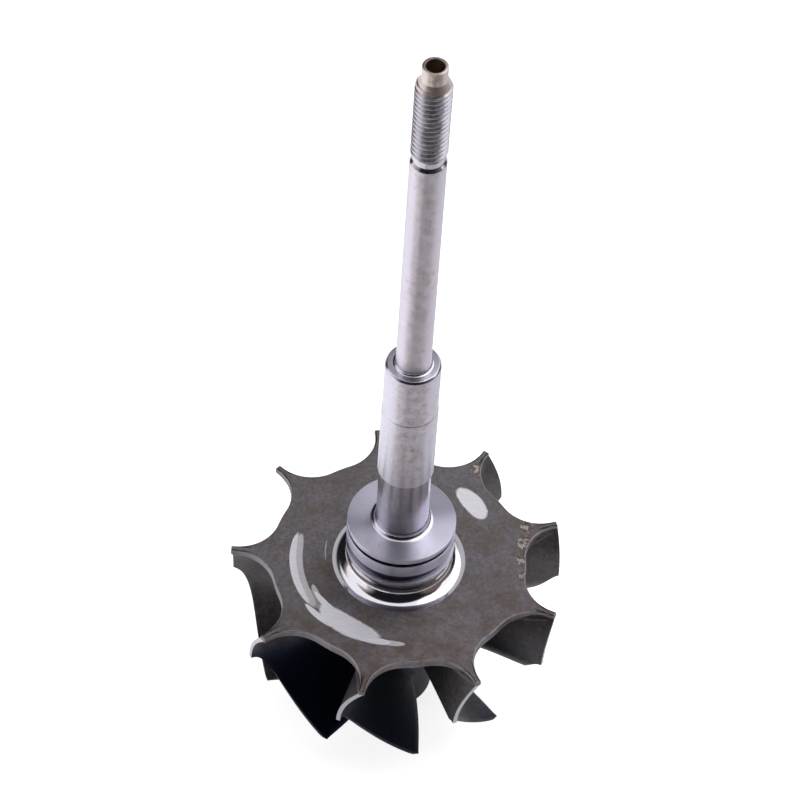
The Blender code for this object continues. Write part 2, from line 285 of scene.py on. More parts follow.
def model_casting():
    """The casting's shell, drawn out ring by ring from the boss's top over the rim to the nose."""
    casting = start_circle("wheel_casting", len(rim), cap_radius, boss_top_z)
    shell = bmesh.from_edit_mesh(casting.data)
    spoke = shell.verts.layers.int.new("spoke")
    ordered = sorted(
        shell.verts, key=lambda vert: (math.atan2(vert.co.y, vert.co.x) - first_blade_angle + 1e-6) % math.tau
    )
    for number, vert in enumerate(ordered):
        vert[spoke] = number
    for edge in shell.edges:
        edge.select = True
    bmesh.update_edit_mesh(casting.data)
    for ring in boss_rings() + rim_rings() + hub_rings():
        next_ring(ring)
    bpy.ops.mesh.edge_face_add()
    finish_shell()
    bpy.ops.object.shade_smooth()
    return casting


def new_group(name, inputs, outputs):
    """Starts a shader group, and gives what goes in and what comes out, by name."""
    group = bpy.data.node_groups.new(name, "ShaderNodeTree")
    for way, labels in (("INPUT", inputs), ("OUTPUT", outputs)):
        for label in labels:
            kind = "NodeSocketColor" if label in ("Colour", "Stain") else "NodeSocketFloat"
            group.interface.new_socket(label, in_out=way, socket_type=kind)
    return group, group.nodes.new("NodeGroupInput").outputs, group.nodes.new("NodeGroupOutput").inputs


def add_group(tree, group, values):
    """Places a shader group with all its values, and gives its outputs."""
    node = tree.nodes.new("ShaderNodeGroup")
    node.node_tree = group
    for label, value in values.items():
        node.inputs[label].default_value = (*value, 1.0) if isinstance(value, tuple) else value
    return node.outputs


def add_place(tree):
    """Place on the piece, in metres."""
    return tree.nodes.new("ShaderNodeTexCoord").outputs["Object"]


def add_split(tree, vector):
    """Splits a place or a direction into its X, Y and Z."""
    split = tree.nodes.new("ShaderNodeSeparateXYZ")
    tree.links.new(vector, split.inputs[0])
    return split.outputs


def add_attribute(tree, name):
    """Value stored on the piece's points under a name."""
    attribute = tree.nodes.new("ShaderNodeAttribute")
    attribute.attribute_name = name
    return attribute.outputs["Fac"]


def add_math(tree, operation, *values, clamp=False):
    """Works out a value from numbers and other values."""
    node = tree.nodes.new("ShaderNodeMath")
    node.operation = operation
    node.use_clamp = clamp
    for socket, value in zip(node.inputs, values):
        if isinstance(value, (int, float)):
            socket.default_value = value
        else:
            tree.links.new(value, socket)
    return node.outputs[0]


def add_noise(tree, vector, scale, detail, rough):
    """Noise whose scale counts its patches in a metre."""
    noise = tree.nodes.new("ShaderNodeTexNoise")
    noise.inputs["Scale"].default_value = scale
    noise.inputs["Detail"].default_value = detail
    noise.inputs["Roughness"].default_value = rough
    tree.links.new(vector, noise.inputs["Vector"])
    return noise.outputs["Fac"]


def add_ramp(tree, value, low, high):
    """Turns a value between low and high into 0 to 1, softly."""
    ramp = tree.nodes.new("ShaderNodeMapRange")
    ramp.interpolation_type = "SMOOTHSTEP"
    ramp.inputs["From Min"].default_value = low
    ramp.inputs["From Max"].default_value = high
    tree.links.new(value, ramp.inputs["Value"])
    return ramp.outputs["Result"]


def add_mix(tree, factor, first, second):
    """Mixes two colours, which go into the node's sockets 6 and 7."""
    mix = tree.nodes.new("ShaderNodeMix")
    mix.data_type = "RGBA"
    tree.links.new(factor, mix.inputs[0])
    for socket, value in ((mix.inputs[6], first), (mix.inputs[7], second)):
        if isinstance(value, tuple):
            socket.default_value = (*value, 1.0)
        else:
            tree.links.new(value, socket)
    return mix.outputs[2]


def add_bump(tree, shader, height, strength, distance):
    """Raises the surface's shading by a height."""
    bump = tree.nodes.new("ShaderNodeBump")
    bump.inputs["Strength"].default_value = strength
    bump.inputs["Distance"].default_value = distance
    tree.links.new(height, bump.inputs["Height"])
    tree.links.new(bump.outputs["Normal"], shader.inputs["Normal"])


def new_material(name, colour, metallic, roughness):
    """Starts a material, and gives its node tree and its shader too."""
    material = bpy.data.materials.new(name)
    material.use_nodes = True
    material.diffuse_color = (*colour, 1.0)
    shader = material.node_tree.nodes["Principled BSDF"]
    shader.inputs["Base Color"].default_value = (*colour, 1.0)
    shader.inputs["Metallic"].default_value = metallic
    shader.inputs["Roughness"].default_value = roughness
    return material, material.node_tree, shader


def add_materials(piece, *materials):
    """Gives a piece its materials, in the order of their index."""
    for material in materials:
        piece.data.materials.append(material)


def make_cast_skin_group():
    """Blotches, darker pits and fine grain of an investment casting's skin."""
    group, given, result = new_group("cast_skin", finish_inputs, finish_outputs)
    place = add_place(group)
    blotches = add_ramp(group, add_noise(group, place, 190.0, 6.0, 0.7), 0.36, 0.68)
    fine = add_noise(group, place, 1500.0, 3.0, 0.6)
    pits = add_ramp(group, add_noise(group, place, 2300.0, 2.0, 0.6), 0.56, 0.7)
    grain = add_noise(group, place, 4200.0, 2.0, 0.6)
    amount = add_math(group, "MULTIPLY", blotches, given["Stain amount"])
    colour = add_mix(group, amount, given["Colour"], given["Stain"])
    shade = add_math(group, "MULTIPLY_ADD", fine, 1.1, 0.45)
    shade = add_math(group, "MULTIPLY_ADD", pits, -0.28, shade)
    tint = group.nodes.new("ShaderNodeVectorMath")
    tint.operation = "SCALE"
    group.links.new(colour, tint.inputs[0])
    group.links.new(shade, tint.inputs["Scale"])
    group.links.new(tint.outputs["Vector"], result["Colour"])
    roughness = add_math(group, "MULTIPLY_ADD", fine, 0.25, given["Roughness"])
    group.links.new(roughness, result["Roughness"])
    height = add_math(group, "MULTIPLY_ADD", fine, 0.6, add_math(group, "MULTIPLY", grain, 0.4))
    group.links.new(height, result["Height"])
    return group


def make_stroke_group():
    """Mask of one grinding stroke round the axis: a long lens, placed in degrees and millimetres."""
    group, given, result = new_group("ground_stroke", stroke_columns, ("Mask",))
    place = add_place(group)
    split = add_split(group, place)
    right = add_math(group, "MULTIPLY", split["X"], 1000.0)
    up = add_math(group, "MULTIPLY", split["Y"], 1000.0)
    turn = add_math(group, "RADIANS", given["Angle"])
    cosine = add_math(group, "COSINE", turn)
    sine = add_math(group, "SINE", turn)
    ahead = add_math(group, "MULTIPLY_ADD", right, cosine, add_math(group, "MULTIPLY", up, sine))
    turned_back = add_math(group, "MULTIPLY", right, sine)
    aside = add_math(group, "SUBTRACT", add_math(group, "MULTIPLY", up, cosine), turned_back)
    along = add_math(group, "MULTIPLY", add_math(group, "ARCTAN2", aside, ahead), given["Radius"])
    squares = add_math(group, "MULTIPLY_ADD", right, right, add_math(group, "MULTIPLY", up, up))
    across = add_math(group, "SUBTRACT", add_math(group, "SQRT", squares), given["Radius"])
    across = add_math(group, "SUBTRACT", across, add_math(group, "MULTIPLY", along, given["Slope"]))
    share = add_math(group, "ABSOLUTE", add_math(group, "DIVIDE", along, given["Length"]))
    bulge = add_math(group, "DIVIDE", across, given["Width"])
    reach = add_math(group, "MULTIPLY_ADD", bulge, bulge, add_math(group, "POWER", share, given["Blunt"]))
    wobble = add_math(group, "SUBTRACT", add_noise(group, place, 1100.0, 4.0, 0.75), 0.5)
    reach = add_math(group, "MULTIPLY_ADD", wobble, 0.45, reach)
    inside = add_math(group, "SUBTRACT", 1.0, add_ramp(group, reach, 0.74, 1.1))
    group.links.new(add_math(group, "MULTIPLY", inside, given["Strength"]), result["Mask"])
    return group


cast_skin = make_cast_skin_group()
ground_stroke = make_stroke_group()


def add_strokes(tree, strokes):
    """Joins several strokes into one mask."""
    whole = None
    for values in strokes:
        mask = add_group(tree, ground_stroke, dict(zip(stroke_columns, values)))["Mask"]
        whole = mask if whole is None else add_math(tree, "MAXIMUM", whole, mask)
    return whole


def add_ground_metal(tree, place):
    """Colour of freshly ground metal, scratched one way."""
    one_way = tree.nodes.new("ShaderNodeMapping")
    one_way.inputs["Rotation"].default_value[2] = math.radians(25.0)
    one_way.inputs["Scale"].default_value = (0.15, 1.0, 1.0)
    tree.links.new(place, one_way.inputs["Vector"])
    scratches = add_noise(tree, one_way.outputs[0], 2500.0, 3.0, 0.6)
    return add_mix(tree, add_ramp(tree, scratches, 0.25, 0.75), ground_grey, ground_white)


def add_rust(tree, place, split, flecked):
    """Mask of the rust: thickest towards the front of the disc, and round the fleck patches."""
    front = add_math(tree, "SUBTRACT", add_math(tree, "MULTIPLY", split["X"], 0.5), split["Y"])
    browned = add_math(tree, "MULTIPLY_ADD", add_ramp(tree, front, 0.004, 0.021), 0.55, 0.2)
    rust = add_ramp(tree, add_noise(tree, place, 380.0, 7.0, 0.75), 0.32, 0.7)
    rust = add_math(tree, "MULTIPLY", rust, browned)
    return add_math(tree, "MAXIMUM", rust, add_math(tree, "MULTIPLY", flecked, 0.6))


def make_disc_alloy():
    """Cast skin of the disc and hub: rusted, with painted shade below, rim wear and painted sheen, and ground
    strokes.
    """
    material, tree, shader = new_material("disc_cast_alloy", disc_base_grey, 0.85, 0.5)
    finish = {"Colour": cast_grey, "Stain": cast_brown, "Stain amount": 0.8, "Roughness": 0.38}
    skin = add_group(tree, cast_skin, finish)
    place = add_place(tree)
    split = add_split(tree, place)

    flecked = add_strokes(tree, fleck_patches)
    flecks = add_ramp(tree, add_noise(tree, place, 1100.0, 3.0, 0.7), 0.5, 0.58)
    flecks = add_math(tree, "MULTIPLY", add_math(tree, "MULTIPLY", flecks, flecked), 0.85)
    # Painted shade: the lower skin under the disc goes to a bluish near-black.
    shaded_below = add_math(tree, "SUBTRACT", 1.0, add_ramp(tree, split["Z"], 0.0265, 0.0285))
    broken = add_ramp(tree, add_noise(tree, place, 900.0, 3.0, 0.6), 0.25, 0.5)
    # Rim lightening: wear with a painted highlight on the edge, a painted reflection on the wall.
    worn_and_sheen = add_math(tree, "MULTIPLY", add_attribute(tree, "wear_and_sheen"), broken)
    on_top = add_math(tree, "GREATER_THAN", split["Z"], back_face_z - 0.00005)
    ground = add_math(tree, "MULTIPLY", add_strokes(tree, balancing_strokes), on_top)

    colour = add_mix(tree, add_rust(tree, place, split, flecked), skin["Colour"], rust_brown)
    colour = add_mix(tree, flecks, colour, fleck_beige)
    colour = add_mix(tree, shaded_below, colour, hub_painted_shade)
    colour = add_mix(tree, worn_and_sheen, colour, worn_and_sheen_grey)
    colour = add_mix(tree, ground, colour, add_ground_metal(tree, place))
    tree.links.new(colour, shader.inputs["Base Color"])

    roughness = add_math(tree, "MULTIPLY_ADD", ground, -0.12, skin["Roughness"])
    roughness = add_math(tree, "MULTIPLY_ADD", flecks, 0.25, roughness)
    tree.links.new(roughness, shader.inputs["Roughness"])
    height = add_math(tree, "MULTIPLY_ADD", flecks, 0.8, skin["Height"])
    left_rough = add_math(tree, "MULTIPLY_ADD", ground, -0.8, 1.0)
    add_bump(tree, shader, add_math(tree, "MULTIPLY", height, left_rough), 0.35, 0.00012)
    return material


def make_turned_boss():
    """Bright turned skin of the boss and its flare."""
    material, tree, shader = new_material("turned_boss", turned_silver, 1.0, 0.1)
    uneven = add_noise(tree, add_place(tree), 900.0, 3.0, 0.6)
    tree.links.new(add_math(tree, "MULTIPLY_ADD", uneven, 0.1, 0.07), shader.inputs["Roughness"])
    return material


def mark_wear_and_sheen(casting):
    """How light each point gets: on the rim's upper edge wear and a painted highlight, on its wall a painted
    reflection.
    """
    wear_and_sheen = casting.data.attributes.new("wear_and_sheen", "FLOAT", "POINT")
    for vert, share in zip(casting.data.vertices, wear_and_sheen.data):
        depth = back_face_z - vert.co.z
        on_rim = vert.co.to_2d().length > scallop_radius - rim_band_width
        if on_rim and depth > 0.000001:
            share.value = edge_wear_and_sheen if depth < rim_rounding + 0.00001 else wall_sheen


wheel_casting = model_casting()
mark_wear_and_sheen(wheel_casting)
add_materials(wheel_casting, make_disc_alloy(), make_turned_boss())
for face in wheel_casting.data.polygons:
    if face.center.to_2d().length < turned_edge_radius and face.center.z > back_face_z - 0.00001:
        face.material_index = 1
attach(wheel_casting, "root")
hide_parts("wheel_hub")


# Nine blades, cast in one with the hub and filleted into it. Each leans back from its arm to the
# foot of its leading edge, then sweeps round to the exducer. Their outer edges are ground to size
# with the wheel, but only the upright leading edge is drawn bright: the rest of the edge keeps the
# dark cast skin as painted shade. The sides are dark as cast, with painted shade lower down on the
# blades nearest the front.
leading_edge_depth = 0.008525
exducer_radius = 0.0204
exducer_depth = 0.02175
shroud_fullness = 1.07
trailing_root_z = 0.0075
root_arm_share = 0.15
root_sunk_depth = 0.00045
inducer_lean = math.radians(7.4)
inducer_lean_start = 0.0006
inducer_lean_depth = 0.009
inducer_lean_power = 2.3
exducer_twist = math.radians(30.0)
exducer_twist_power = 1.58
root_sweep = math.radians(15.0)
root_sweep_growth = math.radians(12.0)
root_sweep_start = 0.011
tip_half_thickness = 0.0003
root_half_thickness = 0.0005
blade_fillet = 0.0011
fillet_start_share = 0.04
fillet_growth_share = 0.16
blade_edge_rounding = 0.00008
ground_edge_depth = 0.00002
blade_columns = 48
blade_rows = 34
row_crowding = 1.9

blade_base_grey = (0.06, 0.058, 0.065)
blade_grey = (0.122, 0.114, 0.120)
blade_brown = (0.085, 0.071, 0.065)
blade_painted_shade = (0.006, 0.009, 0.024)
ground_edge_grey = (0.47, 0.46, 0.50)

# How dark the painted shade on a blade gets, and the height below which it starts. The rest have none.
painted_shade_by_blade = {1: (1.0, 0.0285), 2: (1.0, 0.018), 3: (0.45, 0.0285), 8: (0.15, 0.020), 9: (1.0, 0.0268)}
painted_shade_fade_height = 0.009


def shroud_point(fraction):
    """Point (radius, z) on the blade's outer edge, from the leading edge (0) to the exducer (1)."""
    angle = 0.5 * math.pi * fraction
    inward = (wheel_radius - exducer_radius) * math.sin(angle) ** shroud_fullness
    rise = (exducer_depth - leading_edge_depth) * max(0.0, math.cos(angle)) ** shroud_fullness
    return Vector((wheel_radius - inward, back_face_z - exducer_depth + rise))


def root_point(fraction):
    """Point (radius, z) on the lower skin where the blade grows out, and the skin's normal."""
    if fraction < root_arm_share:
        radius = wheel_radius + (disc_edge_radius - wheel_radius) * fraction / root_arm_share
        return Vector((radius, underside(radius))), Vector((0.0, -1.0))
    last = math.asin((trailing_root_z - nose_top_z) / hub_height)
    along = (fraction - root_arm_share) / (1.0 - root_arm_share)
    angle = 0.5 * math.pi + (last - 0.5 * math.pi) * along
    radius = disc_edge_radius - hub_width * math.cos(angle)
    normal = Vector((math.cos(angle) / hub_width, -math.sin(angle) / hub_height)).normalized()
    return Vector((radius, nose_top_z + hub_height * math.sin(angle))), normal


def blade_turn(radius, z):
    """Angle of the blade's middle surface at a radius and height."""
    depth = back_face_z - z
    inward = max(0.0, exducer_radius - radius) / wheel_radius
    share = min(1.0, max(0.0, (depth - root_sweep_start) / (exducer_depth - root_sweep_start)))
    swept = share * (root_sweep * inward + root_sweep_growth * inward**2)
    if depth < inducer_lean_depth:
        left = (inducer_lean_depth - depth) / (inducer_lean_depth - inducer_lean_start)
        return inducer_lean * (min(1.0, left) ** inducer_lean_power - 1.0) + swept
    share = min(1.0, (depth - inducer_lean_depth) / (exducer_depth - inducer_lean_depth))
    return exducer_twist * share**exducer_twist_power - inducer_lean + swept


def blade_point(fraction, span, side):
    """Point on one side of the blade, from its root in the hub (span 0) to its outer edge (1)."""
    root, outward = root_point(fraction)
    start = root - outward * root_sunk_depth
    point = start + (shroud_point(fraction) - start) * span
    radius, z = point
    away = max(0.0, (point - root).dot(outward))
    inward = (wheel_radius - radius) / (wheel_radius - nose_radius)
    half = tip_half_thickness + (root_half_thickness - tip_half_thickness) * inward
    grown = 0.02 + 0.98 * max(0.0, fraction - fillet_start_share) / fillet_growth_share
    fillet = blade_fillet * min(1.0, grown)
    flare = 0.0
    if away < fillet:
        flare = fillet - math.sqrt(fillet**2 - (fillet - away) ** 2)
    step = 1e-5
    slope_z = radius * (blade_turn(radius, z + step) - blade_turn(radius, z - step)) / (2 * step)
    slope_r = radius * (blade_turn(radius + step, z) - blade_turn(radius - step, z)) / (2 * step)
    offset = (half * math.sqrt(1.0 + slope_z**2 + slope_r**2) + flare) / radius
    angle = blade_turn(radius, z) + side * offset
    return Vector((radius * math.cos(angle), radius * math.sin(angle), z))


def model_blade():
    """One blade on the +X side: two shaped grids for its sides, bridged round the edge."""
    sides = []
    for side in (-1.0, 1.0):
        bpy.ops.object.select_all(action="DESELECT")
        bpy.ops.mesh.primitive_grid_add(x_subdivisions=blade_columns, y_subdivisions=blade_rows, size=2.0)
        grid = bpy.context.object
        for vert in grid.data.vertices:
            fraction = 0.5 + 0.5 * vert.co.x
            span = (0.5 + 0.5 * vert.co.y) ** row_crowding
            vert.co = blade_point(fraction, span, side)
        sides.append(grid)
    sides[0].select_set(True)
    bpy.ops.object.join()
    blade = bpy.context.object
    bpy.ops.object.mode_set(mode="EDIT")
    bpy.ops.mesh.select_mode(type="EDGE")
    bpy.ops.mesh.select_all(action="DESELECT")
    bpy.ops.mesh.select_non_manifold()
    bpy.ops.mesh.bridge_edge_loops()
    finish_shell()
    return blade


def make_blade_alloy():
    """Grey cast skin, darkened by painted shade where each blade's own shade mark says."""
    material, tree, shader = new_material("blade_cast_alloy", blade_base_grey, 0.9, 0.4)
    finish = {"Colour": blade_grey, "Stain": blade_brown, "Stain amount": 0.6, "Roughness": 0.36}
    skin = add_group(tree, cast_skin, finish)
    mark = add_attribute(tree, "painted_shade_mark")
    uneven = add_math(tree, "SUBTRACT", add_noise(tree, add_place(tree), 260.0, 4.0, 0.6), 0.5)
    # Painted shade: blue-black darkening on the lower parts of the blades nearest the front.
    painted_shade_mark = add_ramp(tree, add_math(tree, "MULTIPLY_ADD", uneven, 0.7, mark), 0.1, 0.8)
    painted_shade_mark = add_math(tree, "MULTIPLY", painted_shade_mark, add_math(tree, "GREATER_THAN", mark, 0.001))
    tree.links.new(add_mix(tree, painted_shade_mark, skin["Colour"], blade_painted_shade), shader.inputs["Base Color"])
    tree.links.new(skin["Roughness"], shader.inputs["Roughness"])
    add_bump(tree, shader, skin["Height"], 0.3, 0.0001)
    return material


def make_ground_edge():
    """Bright ground metal of the blades' upright leading edges."""
    material, tree, shader = new_material("ground_edge", ground_edge_grey, 1.0, 0.35)
    scratches = add_noise(tree, add_place(tree), 1800.0, 3.0, 0.6)
    tree.links.new(add_math(tree, "MULTIPLY_ADD", scratches, 0.25, 0.22), shader.inputs["Roughness"])
    add_bump(tree, shader, scratches, 0.2, 0.00004)
    return material


def mark_painted_shade(blade, most, top):
    """Stores how much painted shade each point of a blade gets: none at the top height, more below it."""
    painted_shade_mark = blade.data.attributes.new("painted_shade_mark", "FLOAT", "POINT")
    for vert, share in zip(blade.data.vertices, painted_shade_mark.data):
        share.value = most * min(1.0, max(0.0, (top - vert.co.z) / painted_shade_fade_height))


blade_pattern = model_blade()
add_materials(blade_pattern, make_blade_alloy(), make_ground_edge())
# Only the upright leading edge gets the ground metal; the ground edge down to the exducer keeps the dark cast
# skin as painted shade.
for face in blade_pattern.data.polygons:
    corners = [blade_pattern.data.vertices[index].co for index in face.vertices]
    if min(corner.to_2d().length for corner in corners) > wheel_radius - ground_edge_depth:
        face.material_index = 1
bevel = blade_pattern.modifiers.new("Worn edges", "BEVEL")
bevel.width = blade_edge_rounding
bevel.segments = 2
bevel.limit_method = "ANGLE"
bevel.angle_limit = math.radians(50.0)
bpy.context.view_layer.objects.active = blade_pattern
bpy.ops.object.modifier_apply(modifier=bevel.name)
bpy.ops.object.shade_smooth_by_angle(angle=math.radians(40.0))
for number in range(1, blade_count + 1):
    bpy.ops.object.select_all(action="DESELECT")
    blade = blade_pattern
    if number < blade_count:
        blade = blade_pattern.copy()
        blade.data = blade_pattern.data.copy()
        bpy.context.collection.objects.link(blade)
    blade.name = f"cast_blade_{number}"
    blade.rotation_euler.z = first_blade_angle + math.tau * (number - 1) / blade_count
    blade.select_set(True)
    bpy.context.view_layer.objects.active = blade
    bpy.ops.object.transform_apply(location=False, rotation=True, scale=False)
    mark_painted_shade(blade, *painted_shade_by_blade.get(number, (0.0, 0.0)))
    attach(blade, "root")
    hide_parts(f"blade_{number}")


# The seal ring carrier at the shaft's foot: it is welded to the casting's boss under its lip, and
# has a land with two grooves for the seal rings. It is turned from the same bar as the shaft.
carrier_radius = 0.0080
carrier_lip_z = 0.0337
carrier_top_z = 0.03974
weld_profile = [(0.0068, 0.0332), (0.0073, 0.0334)]
ring_grooves = [(0.0343, 0.0360), (0.03817, 0.03889)]
groove_floor_radius = 0.0071
groove_zone_radii = (0.0060, 0.00785)
groove_zone_top_z = 0.0390
carrier_hidden_radius = 0.0030
carrier_rounding = 0.0001
carrier_sides = 128
rust_orange = (0.42, 0.29, 0.20)


def soften(profile, reach, steps=3):
    """Rounds the inner corners of a profile of (radius, z) points."""
    softened = [profile[0]]
    for before, corner, after in zip(profile, profile[1:], profile[2:]):
        corner = Vector(corner)
        back, ahead = Vector(before) - corner, Vector(after) - corner
        cut = min(reach, 0.42 * back.length, 0.42 * ahead.length)
        start, end = corner + back.normalized() * cut, corner + ahead.normalized() * cut
        for step in range(steps + 1):
            share = step / steps
            first, second = start.lerp(corner, share), corner.lerp(end, share)
            softened.append(tuple(first.lerp(second, share)))
    softened.append(profile[-1])
    return softened


def draw_out(profile):
    """Extrudes the selected loop, which lies at a profile's first point, on to its other points."""
    radius, z = profile[0]
    for next_radius, next_z in profile[1:]:
        bpy.ops.mesh.extrude_edges_move(TRANSFORM_OT_translate={"value": (0, 0, next_z - z)})
        scale = next_radius / radius
        bpy.ops.transform.resize(value=(scale, scale, 1.0), center_override=(0, 0, next_z))
        radius, z = next_radius, next_z


def turn_piece(name, profile, sides):
    """Turns a piece of the shaft: a closed circle is drawn out ring by ring up the profile."""
    piece = start_circle(name, sides, *profile[0])
    bpy.ops.mesh.select_mode(type="EDGE")
    bpy.ops.mesh.select_all(action="SELECT")
    draw_out(profile)
    bpy.ops.mesh.edge_face_add()
    finish_shell()
    bpy.ops.object.shade_smooth_by_angle(angle=math.radians(50.0))
    return piece


def make_turned_group():
    """Fine turning marks round the axis, brown stains, thickest on one side, and rust specks."""
    group, given, result = new_group("turned_metal", finish_inputs, finish_outputs)
    place = add_place(group)
    split = add_split(group, place)
    squares = add_math(group, "MULTIPLY", split["Y"], split["Y"])
    squares = add_math(group, "MULTIPLY_ADD", split["X"], split["X"], squares)
    radius = add_math(group, "SQRT", squares)
    round_axis = group.nodes.new("ShaderNodeCombineXYZ")
    group.links.new(radius, round_axis.inputs["X"])
    group.links.new(split["Z"], round_axis.inputs["Z"])
    marks = add_noise(group, round_axis.outputs[0], 9000.0, 2.0, 0.7)

    stained_side = add_math(group, "MULTIPLY", split["X"], 0.225)
    stained_side = add_math(group, "MULTIPLY_ADD", split["Y"], -0.974, stained_side)
    browned = add_ramp(group, add_math(group, "DIVIDE", stained_side, radius), 0.74, 0.94)
    browned = add_math(group, "MULTIPLY_ADD", browned, 0.75, 0.25)
    stains = add_ramp(group, add_noise(group, place, 750.0, 6.0, 0.85), 0.35, 0.75)
    stains = add_math(group, "MULTIPLY", add_math(group, "ADD", stains, 0.25), browned)
    amount = add_math(group, "MULTIPLY", stains, given["Stain amount"], clamp=True)
    colour = add_mix(group, amount, given["Colour"], given["Stain"])
    specks = add_ramp(group, add_noise(group, place, 1200.0, 4.0, 0.75), 0.53, 0.72)
    patches = add_ramp(group, add_noise(group, place, 130.0, 2.0, 0.5), 0.42, 0.6)
    patches = add_math(group, "MULTIPLY", patches, given["Stain amount"])
    colour = add_mix(group, add_math(group, "MULTIPLY", specks, patches), colour, rust_orange)
    group.links.new(colour, result["Colour"])

    uneven = add_math(group, "MULTIPLY_ADD", marks, 0.12, given["Roughness"])
    group.links.new(add_math(group, "MULTIPLY_ADD", amount, 0.2, uneven), result["Roughness"])
    group.links.new(marks, result["Height"])
    return group


turned_metal = make_turned_group()


def make_turned_steel(name, colour, stain, stain_amount, roughness, grooved, mark_depth=0.00001):
    """Steel turned or ground round the axis, so that reflections are drawn out across the marks."""
    material, tree, shader = new_material(name, colour, 1.0, roughness)
    shader.inputs["Anisotropic"].default_value = grooved
    shader.inputs["Anisotropic Rotation"].default_value = 0.25
    finish = {"Colour": colour, "Stain": stain, "Stain amount": stain_amount, "Roughness": roughness}
    metal = add_group(tree, turned_metal, finish)
    tree.links.new(metal["Colour"], shader.inputs["Base Color"])
    tree.links.new(metal["Roughness"], shader.inputs["Roughness"])
    add_bump(tree, shader, metal["Height"], 0.12, mark_depth)
    return material


carrier_profile = weld_profile + [(carrier_radius, carrier_lip_z)]
for low_z, high_z in ring_grooves:
    carrier_profile += [(carrier_radius, low_z), (groove_floor_radius, low_z)]
    carrier_profile += [(groove_floor_radius, high_z), (carrier_radius, high_z)]
carrier_profile += [(carrier_radius, carrier_top_z), (carrier_hidden_radius, carrier_top_z)]
seal_ring_carrier = turn_piece("seal_ring_carrier", soften(carrier_profile, carrier_rounding), carrier_sides)
carrier_steel = make_turned_steel(
    "turned_carrier_steel", colour=(0.61, 0.59, 0.72), stain=(0.42, 0.38, 0.40),
    stain_amount=0.3, roughness=0.3, grooved=0.93,
)
# Painted shade: the ring grooves' floors and sides are drawn near-black.
groove_shade_steel = make_turned_steel(
    "ring_groove_shade_steel", colour=(0.12, 0.12, 0.15), stain=(0.06, 0.05, 0.05),
    stain_amount=0.3, roughness=0.3, grooved=0.5,
)
add_materials(seal_ring_carrier, carrier_steel, groove_shade_steel)
for face in seal_ring_carrier.data.polygons:
    in_groove = groove_zone_radii[0] < face.center.to_2d().length < groove_zone_radii[1]
    if in_groove and ring_grooves[0][0] < face.center.z < groove_zone_top_z:
        face.material_index = 1
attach(seal_ring_carrier, "root")
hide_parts("shaft")


# The bearing journal: the ground length that runs in the two plain bearings. Its middle band is
# slightly wider, the relief below that is polished, and a small fillet joins it to the carrier.
relief_radius = 0.00386
band_radius = 0.00406
journal_radius = 0.00396
journal_fillet = 0.00085
shoulder_z = 0.0747
shoulder_chamfer = 0.0003
shaft_rounding = 0.00006
shaft_hidden_radius = 0.0018
piece_overlap = 0.0001
fillet_zone_top_z = 0.0406
relief_zone_top_z = 0.0516
chamfer_zone_z = 0.07445
journal_sides = 96


def foot_fillet(radius, foot_z, fillet_radius, steps):
    """Points of the fillet at the foot of a turned length, from the face up to its side."""
    outer, centre_z = radius + fillet_radius, foot_z + fillet_radius
    points = [(outer, foot_z)]
    for step in range(1, steps + 1):
        angle = math.radians(90.0 * step / steps)
        points.append((outer - fillet_radius * math.sin(angle), centre_z - fillet_radius * math.cos(angle)))
    return points


journal_profile = [(carrier_hidden_radius, carrier_top_z - piece_overlap)]
journal_profile += foot_fillet(relief_radius, carrier_top_z, journal_fillet, 9)
journal_profile += [
    (relief_radius, 0.0424), (relief_radius, 0.05155), (band_radius, 0.05170), (band_radius, 0.06525),
    (journal_radius, 0.06540), (journal_radius, shoulder_z - shoulder_chamfer),
    (journal_radius - shoulder_chamfer, shoulder_z), (shaft_hidden_radius, shoulder_z),
]
bearing_journal = turn_piece("bearing_journal", soften(journal_profile, shaft_rounding), journal_sides)
journal_steel = make_turned_steel(
    "ground_journal_steel", colour=(0.59, 0.575, 0.67), stain=(0.45, 0.38, 0.36),
    stain_amount=0.9, roughness=0.2, grooved=0.8,
)
polished_steel = make_turned_steel(
    "polished_fillet_steel", colour=(0.66, 0.64, 0.73), stain=(0.4, 0.35, 0.33),
    stain_amount=0.1, roughness=0.14, grooved=0.2,
)
relief_steel = make_turned_steel(
    "relief_steel", colour=(0.58, 0.56, 0.63), stain=(0.28, 0.23, 0.20),
    stain_amount=0.5, roughness=0.10, grooved=0.6,
)
add_materials(bearing_journal, journal_steel, polished_steel, relief_steel)
for face in bearing_journal.data.polygons:
    if face.center.z < fillet_zone_top_z or face.center.z > chamfer_zone_z:
        face.material_index = 1
    elif face.center.z < relief_zone_top_z:
        face.material_index = 2
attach(bearing_journal, "root")
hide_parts("shaft")


# The stub that the compressor wheel slides over, ground to a sliding fit, with a small lead at
# its end and a narrow runout groove before the thread.
stub_radius = 0.0025
stub_fillet = 0.0004
stub_lead = 0.0003
stub_end_z = 0.11515
lead_zone_z = 0.11486
runout_radius = 0.00207
runout_end_z = 0.1163
stub_sides = 80
stub_profile = [(shaft_hidden_radius, shoulder_z - piece_overlap)]
stub_profile += foot_fillet(stub_radius, shoulder_z, stub_fillet, 6)
stub_profile += [
    (stub_radius, 0.0760), (stub_radius, stub_end_z - stub_lead), (stub_radius - stub_lead, stub_end_z),
    (runout_radius, 0.1153), (runout_radius, runout_end_z), (0.0012, runout_end_z),
]
compressor_stub = turn_piece("compressor_stub", soften(stub_profile, shaft_rounding), stub_sides)
stub_steel = make_turned_steel(
    "ground_stub_steel", colour=(0.64, 0.615, 0.70), stain=(0.56, 0.47, 0.44),
    stain_amount=0.7, roughness=0.28, grooved=0.9,
)
add_materials(compressor_stub, stub_steel, polished_steel, relief_steel)
for face in compressor_stub.data.polygons:
    if face.center.z < shoulder_z + stub_fillet:
        face.material_index = 1
    elif face.center.z > lead_zone_z:
        face.material_index = 2
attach(compressor_stub, "root")
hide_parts("shaft")


